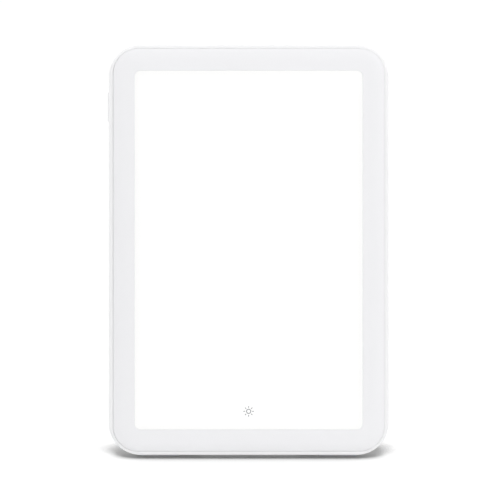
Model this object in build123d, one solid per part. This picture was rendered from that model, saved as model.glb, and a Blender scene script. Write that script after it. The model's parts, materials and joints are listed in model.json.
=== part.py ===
from build123d import *
import os
from math import cos, radians, sin, tan

# Slim light therapy lamp: an edge-lit panel the size of a tablet, which leans back on two rubber
# feet and a hinged rear leg. All sizes are in mm and all angles in degrees.
#
# Every piece is drawn in the panel's own frame: x runs to the right seen from the front, y runs
# from the flat front face (0) to the back, and z runs up from the lower edge. The assembled lamp
# is then leaned back and set down, with +Z up and the front looking along -Y.

# ---- panel body
panel_width = 173.0
panel_height = 253.0
panel_depth = 15.0
panel_corner = 19.8
lean_angle = 12.0

# ---- rear cover
rim_side = 2.75            # side walls, seen from the front as a thin rim
rim_end = 2.25             # the same along the upper and lower edges
rim_setback = 1.3          # how far the rim lies behind the front face
rim_round = 1.3
rear_round = 3.0
back_wall = 2.0
cavity_round = 0.6

# ---- front bezel and diffuser
bezel_corner = 15.4        # tighter than the rim's, so the rim thins at the corners
seam_gap = 0.13            # groove between the rim and the bezel
bezel_thickness = 1.8
bezel_edge_drop = 1.45     # how far the crowned edge falls back at the seam
bezel_crown = 9.5          # width of the crowned edge
skirt_thickness = 1.5
skirt_depth = 3.0          # from the back of the bezel's plate
side_border = 16.25        # from the panel's sides to the lit window
end_border = 15.9          # from the panel's upper and lower edges to the lit window
window_corner = 3.6
window_gap = 0.08          # gap round the diffuser's raised face
diffuser_lip = 2.3         # how far the diffuser's flange reaches behind the bezel
diffuser_flange = 0.8
flange_corner = 2.0

# ---- light stack, thickness of each layer
film_thickness = 0.25
guide_thickness = 2.5
reflector_thickness = 0.25
spreader_thickness = 1.0
layer_corner = 1.5
film_inset = 0.6           # the films are cut this much smaller than the light guide, each side

# ---- light-emitting diode bars
led_count = 28
led_length = 3.5
led_width = 2.0
led_height = 1.15
led_gap = 0.1              # from the light guide's edge to the diodes
led_end_margin = 1.0       # from the bar's end to the first diode
bar_thickness = 1.0
bar_width = 3.0
bar_end_margin = 1.5       # from the guide's end to the bar's end
lead_notch = 7.5           # bare end of each bar, where the leads are soldered
notch_gap = 1.0            # from the bar to the tray beside the notch

# ---- screws
thread_gap = 0.05          # between a screw's outline and its hole
cover_post_radius = 3.1
cover_boss_wall = 2.2      # round the screw's head
cover_boss_height = 2.2
corner_post_inset = 9.9    # from the panel's edges
side_post_inset = 6.2      # from the panel's sides to the middle posts
cover_post_drop = 3.6      # height of the cover's posts, from its back wall
cover_screw_radius = 1.25
cover_screw_length = 7.6
cover_hole_gap = 0.2
cover_head_radius = 2.6
cover_head_height = 1.8
cover_head_depth = 2.4     # seat of the head, below the back face
cover_head_gap = 0.3
small_screw_radius = 0.95
small_hole_gap = 0.15
small_head_radius = 1.9
small_head_height = 1.1
head_round = 0.4           # of a screw head's edge, as a share of the head's height
cross_floor = 0.45         # of the cross in a head, as a share of the head's height
cross_reach = 0.62         # of the cross, as a share of the head's radius
cross_width = 0.6
ear_offset = 40.0          # light stack screws, from the centre line
ear_width = 10.0
ear_length = 3.8           # from the screw to the end of the ear
ear_reach = 8.2            # from the panel's upper and lower edges to the ear screws
ear_boss_wall = 1.5
ear_screw_length = 3.4

# ---- driver board and power inlet, on the right seen from the front
board_thickness = 1.0
insulator_thickness = 0.3
insulator_margin = 1.0
driver_width = 45.0
driver_height = 70.0
driver_edge_gap = 3.5      # from the panel's side to the board
inlet_height = 45.0
inlet_on_board = 20.0      # of the inlet, above the board's lower edge
inlet_hole_radius = 2.5
jack_length = 10.8
jack_width = 7.0
jack_body_height = 4.7
jack_wall_gap = 0.3        # from the cover's side wall to the jack
jack_bore_radius = 1.95
jack_end_wall = 1.2
jack_pin_radius = 0.65
jack_pin_recess = 1.0
cradle_gap = 0.1
cradle_wall = 1.2
cradle_lift = 1.2          # above the board
board_screw_margin = 4.0

# Components on the back of the driver board: distance from its left edge and from its lower edge
# to the component, then the component's width, height and thickness.
inductor_box = (16.0, 44.0, 11.0, 11.0, 3.6)
inductor_corner = 1.8
chip_boxes = [
    (17.0, 33.0, 5.0, 4.0, 1.5),
    (25.0, 34.0, 3.5, 3.0, 1.1),
    (10.0, 34.0, 3.0, 1.6, 1.0),
    (10.0, 38.0, 3.0, 1.6, 1.0),
]
left_lead_socket = (12.0, 1.0, 6.0, 4.5, 3.2)
right_lead_socket = (26.0, 1.0, 6.0, 4.5, 3.2)
switch_lead_socket = (20.0, 64.5, 6.0, 4.5, 3.2)
capacitor_places = [(33.0, 31.5), (33.0, 40.0)]
capacitor_radius = 3.1
capacitor_height = 4.0
capacitor_base = 6.6
capacitor_base_height = 0.6

# ---- power button, on the left seen from the front
button_drop = 38.0         # from the panel's upper edge to its centre
button_depth = 8.9         # of its centre, behind the front face
button_length = 18.0
button_width = 5.0
button_proud = 0.7
button_edge = 0.6
button_travel = 0.5
button_gap = 0.15
button_flange = 1.1
button_overlap = 0.8       # how far the flange reaches past the cap
nib_radius = 1.5
nib_length = 1.5
contact_gap = 0.05         # between the button's nib and the switch's plunger
plunger_radius = 1.0
plunger_proud = 1.1
plunger_depth = 2.0        # inside the switch
plunger_gap = 0.1
plunger_end_gap = 0.1
tact_size = 4.6
tact_height = 3.2
switch_board_thickness = 0.8
switch_board_height = 22.0
switch_board_gap = 0.4     # from the board's long edges to the tray and to the cover's back
slot_rib = 1.5
slot_rib_depth = 4.5
slot_gap = 0.05

# ---- hinged rear leg
hinge_height = 128.0       # of the hinge axis, above the panel's lower edge
hinge_inset = 2.9          # of the hinge axis, in front of the back face
leg_splay = 10.0           # angle between the open leg and the vertical
leg_width = 60.0
leg_thickness = 3.6
leg_flush = 0.2            # the folded leg lies this far below the back face
leg_clearance = 0.3
leg_side_gap = 0.5
barrel_gap = 0.35          # between the hinge barrel and its pocket
heel_length = 5.4
stop_gap = 0.12            # between the heel and its stop when the leg is open
recess_wall = 1.5
recess_side_wall = 1.8
leg_skin = 1.4
leg_rib = 1.6
leg_rows = 4
leg_columns = 3
leg_top_web = 4.0
leg_end_web = 5.0
pocket_corner = 1.5
leg_edge = 0.7
foot_pad_height = 6.0
foot_pad_inset = 1.0
foot_pad_corner = 2.5
tongue_length = 3.0
tongue_width = 46.0
tongue_thickness = 1.3
tongue_gap = 0.04
scoop_radius = 9.0
scoop_height = 34.0

# ---- hinge pins and washers
pin_radius = 1.25
pin_running_gap = 0.05
pin_seat_gap = 0.01
pin_reach = 7.0            # into the leg
pin_end_gap = 0.8
pin_boss_radius = 3.6
pin_boss_length = 3.6
washer_thickness = 0.4
washer_radius = 2.5

# ---- rubber feet on the lower edge
foot_proud = 0.7           # below the lowest point of the cover
foot_side_inset = 31.5     # from the panel's sides to the middle of each foot
foot_length = 24.0
foot_width = 3.6
foot_inset = 1.8           # from the back face
foot_seat = 1.2
foot_gap = 0.05

# ---- ventilation slots in the back
vent_width = 2.0
vent_length = 15.0
vent_pitch = 6.5
top_vents = 13
side_vents = 5
top_vent_drop = 31.0       # from the panel's upper edge to the middle of the slots
side_vent_gap = 13.5       # from the leg's recess to the first slot
side_vent_height = 31.0

# ---- leads between the boards, each a pair of wires
wire_radius = 0.45
wire_pitch = 0.95
wire_bend = 1.7
wire_lift = 0.05           # above the tray
wire_level = 1.4           # above the driver board
wire_room = 4.2            # beside a diode bar
wire_drop = 8.0            # beside the switch board
lead_rise = 14.0           # above the leg's recess

# ---- sizes that follow
lean = radians(lean_angle)
splay = radians(leg_splay)
open_angle = lean_angle + leg_splay
middle = panel_height / 2
bezel_width = panel_width - 2 * (rim_side + seam_gap)
bezel_height = panel_height - 2 * (rim_end + seam_gap)
cavity_corner = bezel_corner + seam_gap
inner_half = panel_width / 2 - rim_side
cover_inside = panel_depth - back_wall
cover_joint = cover_inside - cover_post_drop
window_width = panel_width - 2 * side_border
window_height = panel_height - 2 * end_border

diffuser_back = bezel_thickness + diffuser_flange
film_back = diffuser_back + film_thickness
guide_back = film_back + guide_thickness
reflector_back = guide_back + reflector_thickness
spreader_back = reflector_back + spreader_thickness
guide_width = window_width + 2 * diffuser_lip
guide_height = window_height + 2 * diffuser_lip
led_depth = film_back + guide_thickness / 2
bar_face = guide_width / 2 + led_gap + led_height
bar_rear = bar_face + bar_thickness
bar_front = reflector_back - bar_width
bar_low = middle - guide_height / 2 + bar_end_margin
bar_high = middle + guide_height / 2 - bar_end_margin
flange_outer = bar_rear + spreader_thickness

hinge_depth = panel_depth - hinge_inset
leg_outer = hinge_inset - leg_flush          # from the hinge axis to the leg's outer face
leg_inner = leg_outer - leg_thickness
barrel_radius = leg_outer
pocket_radius = barrel_radius + barrel_gap
recess_half = leg_width / 2 + leg_side_gap
recess_outside = recess_half + recess_side_wall
recess_floor = hinge_depth + leg_inner - leg_clearance
heel_reach = (heel_length ** 2 + leg_outer ** 2) ** 0.5 + leg_clearance
recess_top = hinge_height + heel_reach + recess_side_wall

cover_lowest = (panel_depth - rear_round) * sin(lean) + rear_round * (1 - cos(lean))
floor_drop = cover_lowest + foot_proud       # from the panel's lower front edge to the table
hinge_rise = hinge_height * cos(lean) - hinge_depth * sin(lean) + floor_drop
leg_length = hinge_rise / cos(splay)
plate_end = leg_length - foot_pad_height
tongue_depth = (leg_inner + leg_outer) / 2

board_front = spreader_back + insulator_thickness
board_back = board_front + board_thickness
driver_right = panel_width / 2 - driver_edge_gap
driver_left = driver_right - driver_width
driver_low = inlet_height - inlet_on_board
driver_high = driver_low + driver_height
inlet_depth = board_back + jack_body_height / 2
jack_mouth = inner_half - jack_wall_gap
jack_back = jack_mouth - jack_length
button_height = panel_height - button_drop
flange_face = inner_half - button_gap - button_flange
nib_face = flange_face - nib_length
plunger_tip = nib_face - contact_gap
tact_face = plunger_tip - plunger_proud
tact_back = tact_face - tact_height
switch_board_face = tact_back - switch_board_thickness
wire_on_tray = spreader_back + wire_lift + wire_radius + wire_pitch / 2

corner_posts = [
    (side * (panel_width / 2 - corner_post_inset), end)
    for side in (-1, 1)
    for end in (corner_post_inset, panel_height - corner_post_inset)
]
side_posts = [(side * (panel_width / 2 - side_post_inset), middle) for side in (-1, 1)]
cover_posts = corner_posts + side_posts
ear_screws = [
    (side * ear_offset, end)
    for side in (-1, 1)
    for end in (ear_reach, panel_height - ear_reach)
]
board_holes = [
    (driver_left + board_screw_margin, driver_low + board_screw_margin),
    (driver_left + board_screw_margin, driver_high - board_screw_margin),
]
sides = {"left": -1, "right": 1}


# ---- shapes that many pieces use
def block(x0, x1, y0, y1, z0, z1):
    """Box between two opposite corners, given in any order."""
    centre = Pos((x0 + x1) / 2, (y0 + y1) / 2, (z0 + z1) / 2)
    return centre * Box(abs(x1 - x0), abs(y1 - y0), abs(z1 - z0))


def facing(y, x=0.0, z=0.0):
    """Plane at depth y that looks out of the front, with its own y axis up the panel."""
    return Plane(origin=(x, y, z), x_dir=(1, 0, 0), z_dir=(0, -1, 0))


def plate(width, height, corner, y0, y1, x=0.0, z=middle):
    """Rounded rectangle parallel to the front, from depth y0 to y1."""
    return extrude(facing(y1, x, z) * RectangleRounded(width, height, corner), amount=y1 - y0)


def round_y(radius, x, z, y0, y1):
    """Cylinder along the depth, from y0 to y1."""
    return Pos(x, (y0 + y1) / 2, z) * Rot(90, 0, 0) * Cylinder(radius, abs(y1 - y0))


def round_x(radius, y, z, x0, x1):
    """Cylinder across the panel, from x0 to x1."""
    return Pos((x0 + x1) / 2, y, z) * Rot(0, 90, 0) * Cylinder(radius, abs(x1 - x0))


def side_profile(points, x0, x1):
    """Closed outline of (y, z) points, extruded across the panel from x0 to x1."""
    plane = Plane(origin=(x0, 0, 0), x_dir=(0, 1, 0), z_dir=(1, 0, 0))
    return extrude(plane * make_face(Polyline(*points, close=True)), amount=x1 - x0)


def front_edges(shape):
    return shape.faces().sort_by(Axis.Y)[0].outer_wire().edges()


def rear_edges(shape):
    return shape.faces().sort_by(Axis.Y)[-1].outer_wire().edges()


def group(shapes):
    """Several separate solids that share one node."""
    return Compound([solid for shape in shapes for solid in shape.solids()])


def pan_screw(x, z, seat, length, radius, head_radius, head_height):
    """Cross-head screw driven from the back, with the underside of its head at depth seat."""
    top = seat + head_height
    head = round_y(head_radius, x, z, seat, top)
    head = fillet(rear_edges(head), head_height * head_round)
    floor = seat + head_height * cross_floor
    arm = head_radius * cross_reach
    half = cross_width / 2
    cross = block(x - arm, x + arm, floor, top, z - half, z + half)
    cross += block(x - half, x + half, floor, top, z - arm, z + arm)
    return head + round_y(radius, x, z, seat - length, seat) - cross


def small_screws(places, seat, length):
    return group(
        pan_screw(x, z, seat, length, small_screw_radius, small_head_radius, small_head_height)
        for x, z in places
    )


# ---- front of the lamp
def crown_cutter():
    """Ring that takes the bezel's front edge down along a smooth arc."""
    inset = 2 * bezel_crown
    size = (bezel_width - inset, bezel_height - inset, bezel_corner - bezel_crown)
    path = (facing(0.0, 0.0, middle) * RectangleRounded(*size)).wire()
    start = path @ 0
    outward = Vector(0, 1, 0).cross(path % 0)
    if outward.dot(start - Vector(0, 0, middle)) < 0:
        outward = -outward
    section = Plane(origin=start, x_dir=outward, z_dir=path % 0)
    back = 1.0 if section.y_dir.Y > 0 else -1.0
    arc_radius = (bezel_crown ** 2 + bezel_edge_drop ** 2) / (2 * bezel_edge_drop)
    half_drop = arc_radius - (arc_radius ** 2 - bezel_crown ** 2 / 4) ** 0.5
    edge = (bezel_crown, back * bezel_edge_drop)
    outline = ThreePointArc((0, 0), (bezel_crown / 2, back * half_drop), edge)
    outline += Polyline(edge, (bezel_crown + 1, edge[1]), (bezel_crown + 1, -back), (0, -back), (0, 0))
    return sweep(section * make_face(outline), path=path)


def front_bezel():
    bezel = plate(bezel_width, bezel_height, bezel_corner, 0.0, bezel_thickness)
    bezel -= crown_cutter()
    skirt_end = bezel_thickness + skirt_depth
    skirt = plate(bezel_width, bezel_height, bezel_corner, bezel_thickness, skirt_end)
    inside = 2 * skirt_thickness
    skirt -= plate(bezel_width - inside, bezel_height - inside, bezel_corner - skirt_thickness,
                   bezel_thickness, skirt_end)
    bezel += skirt
    gap = 2 * window_gap
    bezel -= plate(window_width + gap, window_height + gap, window_corner + window_gap,
                   -bezel_thickness, bezel_thickness)
    for x, z in cover_posts:
        bezel += round_y(cover_post_radius, x, z, bezel_thickness, cover_joint)
    for x, z in ear_screws:
        bezel += round_y(small_screw_radius + ear_boss_wall, x, z, bezel_thickness, reflector_back)
    for x, z in cover_posts:
        bezel -= round_y(cover_screw_radius + thread_gap, x, z, bezel_thickness, cover_joint)
    for x, z in ear_screws:
        bezel -= round_y(small_screw_radius + thread_gap, x, z, bezel_thickness, reflector_back)
    return bezel


def diffuser_panel():
    face = plate(window_width, window_height, window_corner, 0.0, bezel_thickness)
    return face + plate(guide_width, guide_height, flange_corner, bezel_thickness, diffuser_back)


def light_layer(y0, y1, inset):
    """One sheet of the light stack."""
    return plate(guide_width - 2 * inset, guide_height - 2 * inset, layer_corner, y0, y1)


def heat_spreader():
    """Aluminium tray behind the light stack; its long edges turn forward behind the diode bars."""
    flange_low = bar_low + lead_notch
    flange_high = bar_high - lead_notch
    beside_notch = bar_face - notch_gap
    tray = block(-flange_outer, flange_outer, reflector_back, spreader_back, flange_low, flange_high)
    tray += block(-beside_notch, beside_notch, reflector_back, spreader_back, bar_low, bar_high)
    for side in sides.values():
        tray += block(side * bar_rear, side * flange_outer, bar_front, spreader_back,
                      flange_low, flange_high)
    for x, z in ear_screws:
        outward = -1 if z < middle else 1
        root = bar_low if z < middle else bar_high
        tray += block(x - ear_width / 2, x + ear_width / 2, reflector_back, spreader_back,
                      root - outward * ear_length, z + outward * ear_length)
    for x, z in ear_screws + board_holes:
        tray -= round_y(small_screw_radius + small_hole_gap, x, z, reflector_back, spreader_back)
    return tray


def led_bar(side):
    return block(side * bar_face, side * bar_rear, bar_front, reflector_back, bar_low, bar_high)


def leds(side):
    first = bar_low + led_end_margin + led_length / 2
    last = bar_high - led_end_margin - led_length / 2
    pitch = (last - first) / (led_count - 1)
    diodes = []
    for i in range(led_count):
        z = first + i * pitch
        diodes.append(block(side * (bar_face - led_height), side * bar_face,
                            led_depth - led_width / 2, led_depth + led_width / 2,
                            z - led_length / 2, z + led_length / 2))
    return group(diodes)


# ---- electronics
def insulator_sheet():
    sheet = block(driver_left - insulator_margin, bar_face, spreader_back, board_front,
                  driver_low - insulator_margin, driver_high + insulator_margin)
    for x, z in board_holes:
        sheet -= round_y(small_screw_radius + small_hole_gap, x, z, spreader_back, board_front)
    return sheet


def driver_board():
    board = block(driver_left, driver_right, board_front, board_back, driver_low, driver_high)
    for x, z in board_holes:
        board -= round_y(small_screw_radius + small_hole_gap, x, z, board_front, board_back)
    return board


def on_board(across, up, width, height, thickness):
    """Component on the back of the driver board, placed from the board's lower left corner."""
    x = driver_left + across
    z = driver_low + up
    return block(x, x + width, board_back, board_back + thickness, z, z + height)


def inductor():
    return chamfer(on_board(*inductor_box).edges().filter_by(Axis.Y), inductor_corner)


def capacitors():
    cans = []
    for across, up in capacitor_places:
        half = capacitor_base / 2
        base = on_board(across - half, up - half, capacitor_base, capacitor_base,
                        capacitor_base_height)
        can = round_y(capacitor_radius, driver_left + across, driver_low + up,
                      board_back, board_back + capacitor_height)
        cans.append(base + can)
    return group(cans)


def driver_chips():
    return group(on_board(*box) for box in chip_boxes)


def wire_sockets():
    return group(
        on_board(*box) for box in (left_lead_socket, right_lead_socket, switch_lead_socket)
    )


def dc_jack():
    half = jack_width / 2
    body = block(jack_back, jack_mouth, board_back, board_back + jack_body_height,
                 inlet_height - half, inlet_height + half)
    return body - round_x(jack_bore_radius, inlet_depth, inlet_height, jack_back + jack_end_wall,
                          jack_mouth)


def jack_pin():
    return round_x(jack_pin_radius, inlet_depth, inlet_height, jack_back + jack_end_wall,
                   jack_mouth - jack_pin_recess)


# ---- power button
def button_slot(length, width, x0, x1):
    """Upright bar with round ends that passes through the lamp's left side, from x0 to x1."""
    plane = Plane(origin=(-x0, button_depth, button_height), x_dir=(0, 0, 1), z_dir=(1, 0, 0))
    return extrude(plane * SlotOverall(length, width), amount=x0 - x1)


def button_round(radius, x0, x1):
    """Cylinder on the button's axis, from x0 to x1, both counted to the left."""
    return round_x(radius, button_depth, button_height, -x0, -x1)


def power_button():
    flange_back = inner_half - button_gap
    cap = button_slot(button_length, button_width, panel_width / 2 + button_proud, flange_back)
    cap = fillet(cap.faces().sort_by(Axis.X)[0].outer_wire().edges(), button_edge)
    flange = button_slot(button_length + 2 * button_overlap, button_width + 2 * button_overlap,
                         flange_back, flange_face)
    return cap + flange + button_round(nib_radius, flange_face, nib_face)


def tact_plunger():
    return button_round(plunger_radius, plunger_tip, tact_face - plunger_depth)


def tact_switch():
    half = tact_size / 2
    body = block(-tact_face, -tact_back, button_depth - half, button_depth + half,
                 button_height - half, button_height + half)
    well = plunger_depth + button_travel + plunger_end_gap
    return body - button_round(plunger_radius + plunger_gap, tact_face, tact_face - well)


def switch_board(gap=0.0):
    """Small board behind the button; with a gap, the space that it takes in its ribs."""
    half = switch_board_height / 2
    return block(-tact_back - gap, -switch_board_face + gap,
                 spreader_back + switch_board_gap - gap, cover_inside - switch_board_gap + gap,
                 button_height - half - gap, button_height + half + gap)


def switch_board_ribs():
    """Two slotted ribs inside the cover that hold the ends of the switch board."""
    half = switch_board_height / 2
    ribs = [
        block(-tact_back - slot_rib, -switch_board_face + slot_rib, cover_inside - slot_rib_depth,
              cover_inside, button_height + side * half - slot_rib,
              button_height + side * half + slot_rib)
        for side in sides.values()
    ]
    return ribs[0] + ribs[1] - switch_board(slot_gap)


# ---- leads
def wire_pair(points):
    """Two wires that follow the same route, one behind the other."""
    wires = []
    for side in sides.values():
        shift = Vector(0, side * wire_pitch / 2, 0)
        route = FilletPolyline(*[Vector(*p) + shift for p in points], radius=wire_bend)
        start = Plane(origin=route @ 0, z_dir=route % 0)
        wires.append(sweep(start * Circle(wire_radius), path=route))
    return group(wires)


def socket_centre(socket):
    return driver_left + socket[0] + socket[2] / 2


def led_lead_right():
    x = socket_centre(right_lead_socket)
    y = board_back + wire_level
    level = bar_low + lead_notch / 2
    beside = bar_rear + wire_room
    return wire_pair([
        (x, y, driver_low + right_lead_socket[1]),
        (x, y, level),
        (beside, y, level),
        (beside, led_depth, level),
        (bar_rear, led_depth, level),
    ])


def led_lead_left():
    x = socket_centre(left_lead_socket)
    y = board_back + wire_level
    level = bar_low + lead_notch / 2
    beside = bar_rear + wire_room
    return wire_pair([
        (x, y, driver_low + left_lead_socket[1]),
        (x, y, level),
        (recess_outside + wire_room, wire_on_tray, level),
        (-beside, wire_on_tray, level),
        (-beside, led_depth, level),
        (-bar_rear, led_depth, level),
    ])


def switch_lead():
    x = socket_centre(switch_lead_socket)
    socket_end = driver_low + switch_lead_socket[1] + switch_lead_socket[3]
    y = board_back + wire_level
    crossing = recess_top + lead_rise
    beside = -switch_board_face + wire_drop
    low_end = button_height - tact_size
    return wire_pair([
        (x, y, socket_end),
        (x, y, socket_end + wire_room),
        (x, wire_on_tray, driver_high + lead_rise),
        (x, wire_on_tray, crossing),
        (beside, wire_on_tray, crossing),
        (beside, wire_on_tray, low_end - lead_rise),
        (beside, button_depth, low_end),
        (-switch_board_face, button_depth, low_end),
    ])


# ---- rear cover
def leg_recess():
    """Space that the folding leg needs in the back of the cover."""
    beyond = panel_depth + rear_round
    space = block(-recess_half, recess_half, recess_floor, beyond, -rear_round, hinge_height)
    space += round_x(pocket_radius, hinge_depth, hinge_height, -recess_half, recess_half)
    angle = radians(open_angle)
    y = hinge_depth - stop_gap * cos(angle)
    z = hinge_height - stop_gap * sin(angle)
    top = hinge_height + heel_reach
    heel_space = [(y, z), (y - (top - z) * tan(angle), top), (beyond, top), (beyond, z)]
    space += side_profile(heel_space, -recess_half, recess_half)
    return space + round_y(scoop_radius, -recess_half, scoop_height, recess_floor, beyond)


def recess_walls():
    """Walls that close the leg's recess off from the inside of the cover."""
    inside = recess_floor - recess_wall
    walls = block(-recess_outside, recess_outside, inside, cover_inside, rim_end / 2, hinge_height)
    walls += block(-recess_outside, recess_outside, hinge_depth - pocket_radius - recess_wall,
                   cover_inside, hinge_height - pocket_radius - recess_side_wall, recess_top)
    walls += round_y(scoop_radius + recess_side_wall, -recess_half, scoop_height, inside, cover_inside)
    for side in sides.values():
        boss = round_x(pin_boss_radius, hinge_depth, hinge_height,
                       side * recess_half, side * (recess_outside + pin_boss_length))
        walls += boss - block(-panel_width, panel_width, cover_inside + back_wall / 2, 2 * panel_depth,
                              0, panel_height)
    return walls


def cover_bosses():
    bosses = []
    into_wall = back_wall / 4
    for x, z in cover_posts:
        post = round_y(cover_post_radius, x, z, cover_joint, cover_inside + into_wall)
        bosses.append(post + round_y(cover_head_radius + cover_boss_wall, x, z,
                                     cover_inside - cover_boss_height, cover_inside + into_wall))
    return bosses


def jack_cradle():
    """Ribs inside the cover that hold the inlet jack above and below."""
    half = jack_width / 2 + cradle_gap
    return [
        block(jack_back, inner_half + rim_side / 2, board_back + cradle_lift, cover_inside,
              inlet_height + side * half, inlet_height + side * (half + cradle_wall))
        for side in sides.values()
    ]


def vent_row(count, centre, z):
    slots = []
    for i in range(count):
        x = centre + (i - (count - 1) / 2) * vent_pitch
        outline = facing(panel_depth, x, z) * (Rot(0, 0, 90) * SlotOverall(vent_length, vent_width))
        slots.append(extrude(outline, amount=back_wall))
    return slots


def vent_slots():
    slots = vent_row(top_vents, 0.0, panel_height - top_vent_drop)
    offset = recess_half + side_vent_gap + (side_vents - 1) / 2 * vent_pitch
    for side in sides.values():
        slots += vent_row(side_vents, side * offset, side_vent_height)
    return slots


def rear_cover():
    cover = plate(panel_width, panel_height, panel_corner, rim_setback, panel_depth)
    cover = fillet(rear_edges(cover), rear_round)
    cover = fillet(front_edges(cover), rim_round)
    cavity = plate(2 * inner_half, panel_height - 2 * rim_end, cavity_corner, -rim_setback,
                   cover_inside)
    cover -= fillet(rear_edges(cavity), cavity_round)
    for rib in cover_bosses() + jack_cradle() + [switch_board_ribs(), recess_walls()]:
        cover += rib
    for x, z in cover_posts:
        cover -= round_y(cover_screw_radius + cover_hole_gap, x, z, cover_joint, panel_depth)
        cover -= round_y(cover_head_radius + cover_head_gap, x, z, panel_depth - cover_head_depth,
                         panel_depth)
    cover -= leg_recess()
    groove = recess_outside + pin_boss_length + pin_length()
    cover -= round_x(pin_radius + pin_seat_gap, hinge_depth, hinge_height, -groove, groove)
    cover -= round_x(inlet_hole_radius, inlet_depth, inlet_height, inner_half, panel_width / 2)
    cover -= button_slot(button_length + 2 * button_gap, button_width + 2 * button_gap,
                         panel_width / 2, inner_half)
    for slot in vent_slots():
        cover -= slot
    for side in sides.values():
        cover -= base_foot_seat(side)
    return cover


def cover_screws():
    seat = panel_depth - cover_head_depth
    return group(
        pan_screw(x, z, seat, cover_screw_length, cover_screw_radius, cover_head_radius,
                  cover_head_height)
        for x, z in cover_posts
    )


# ---- rubber feet on the lower edge
def table_level(y):
    """Height of the table in the panel's frame, at depth y."""
    return (y * sin(lean) - floor_drop) / cos(lean)


def base_foot(side):
    back = panel_depth - foot_inset
    front = back - foot_width
    outline = [(front, foot_seat), (back, foot_seat), (back, table_level(back)),
               (front, table_level(front))]
    centre = side * (panel_width / 2 - foot_side_inset)
    return side_profile(outline, centre - foot_length / 2, centre + foot_length / 2)


def base_foot_seat(side):
    back = panel_depth - foot_inset + foot_gap
    front = back - foot_width - 2 * foot_gap
    half = foot_length / 2 + foot_gap
    centre = side * (panel_width / 2 - foot_side_inset)
    return block(centre - half, centre + half, front, back, -foot_seat, foot_seat)


# ---- hinged leg, drawn folded, with the hinge axis at the origin and the leg hanging down
def stand_leg():
    half = leg_width / 2
    leg = block(-half, half, leg_inner, leg_outer, -plate_end, 0)
    leg += block(-half, half, 0, leg_outer, 0, heel_length)
    outer_edges = leg.faces().sort_by(Axis.Y)[-1].edges().filter_by(Axis.Z)
    leg = chamfer(outer_edges, leg_edge)
    leg += round_x(barrel_radius, 0, 0, -half, half)
    top = -(pocket_radius + leg_top_web)
    bottom = -(plate_end - leg_end_web)
    pitch_x = (leg_width - leg_rib) / leg_columns
    pitch_z = (top - bottom) / leg_rows
    for column in range(leg_columns):
        for row in range(leg_rows):
            x = -half + leg_rib / 2 + pitch_x * (column + 0.5)
            z = bottom + pitch_z * (row + 0.5)
            leg -= plate(pitch_x - leg_rib, pitch_z - leg_rib, pocket_corner, leg_inner,
                         leg_outer - leg_skin, x=x, z=z)
    leg += tongue(0.0)
    for side in sides.values():
        leg -= round_x(pin_radius + pin_running_gap, 0, 0, side * half,
                       side * (half - pin_reach - pin_end_gap))
    return leg


def tongue(gap):
    """Tongue on the leg's end that carries the rubber pad; with a gap, the slot in the pad."""
    half = tongue_width / 2 + gap
    thick = tongue_thickness / 2 + gap
    return block(-half, half, tongue_depth - thick, tongue_depth + thick,
                 -plate_end - tongue_length - gap, -plate_end)


def leg_end(v):
    """How far below the hinge axis the table meets the open leg, at v behind the axis."""
    return (hinge_rise + v * sin(splay)) / cos(splay)


def leg_foot_pad():
    outline = [(leg_inner, -plate_end), (leg_outer, -plate_end),
               (leg_outer, -leg_end(leg_outer)), (leg_inner, -leg_end(leg_inner))]
    half = leg_width / 2 - foot_pad_inset
    pad = side_profile(outline, -half, half)
    corners = [
        edge for edge in pad.edges()
        if abs(edge.center().X) > half / 2 and edge.center().Z < -plate_end - foot_pad_height / 2
        and abs((edge % 0.5).X) < 0.5 and abs((edge % 0.5).Z) < 0.5
    ]
    return fillet(corners, foot_pad_corner) - tongue(tongue_gap)


def on_hinge(shape):
    """Puts a piece of the leg on the hinge, opened as far as its stop."""
    return Pos(0, hinge_depth, hinge_height) * Rot(open_angle, 0, 0) * shape


# ---- hinge pins and washers
def pin_length():
    return leg_side_gap + recess_side_wall + pin_boss_length + pin_reach


def hinge_pins():
    return group(
        round_x(pin_radius, hinge_depth, hinge_height, side * (recess_outside + pin_boss_length),
                side * (leg_width / 2 - pin_reach))
        for side in sides.values()
    )


def hinge_washers():
    rings = []
    for side in sides.values():
        centre = side * (leg_width / 2 + leg_side_gap / 2)
        ends = (centre - washer_thickness / 2, centre + washer_thickness / 2)
        ring = round_x(washer_radius, hinge_depth, hinge_height, *ends)
        hole = round_x(pin_radius + pin_running_gap, hinge_depth, hinge_height, *ends)
        rings.append(ring - hole)
    return group(rings)


def build_lamp():
    """All pieces in the panel's frame, with the leg open."""
    pieces = {
        "front_bezel": front_bezel(),
        "diffuser_panel": diffuser_panel(),
        "diffuser_film": light_layer(diffuser_back, film_back, film_inset),
        "light_guide": light_layer(film_back, guide_back, 0.0),
        "reflector_sheet": light_layer(guide_back, reflector_back, film_inset),
        "heat_spreader": heat_spreader(),
        "spreader_screws": small_screws(ear_screws, spreader_back, ear_screw_length),
        "insulator_sheet": insulator_sheet(),
        "driver_board": driver_board(),
        "board_screws": small_screws(board_holes, board_back, board_back - reflector_back),
        "inductor": inductor(),
        "capacitors": capacitors(),
        "driver_chips": driver_chips(),
        "wire_sockets": wire_sockets(),
        "dc_jack": dc_jack(),
        "jack_pin": jack_pin(),
        "power_button": power_button(),
        "tact_plunger": tact_plunger(),
        "tact_switch": tact_switch(),
        "switch_board": switch_board(),
        "led_lead_left": led_lead_left(),
        "led_lead_right": led_lead_right(),
        "switch_lead": switch_lead(),
        "rear_cover": rear_cover(),
        "cover_screws": cover_screws(),
        "stand_leg": on_hinge(stand_leg()),
        "leg_foot_pad": on_hinge(leg_foot_pad()),
        "hinge_pins": hinge_pins(),
        "hinge_washers": hinge_washers(),
    }
    for word, side in sides.items():
        pieces["led_bar_" + word] = led_bar(side)
        pieces["leds_" + word] = leds(side)
        pieces["base_foot_" + word] = base_foot(side)
    return pieces


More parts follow.
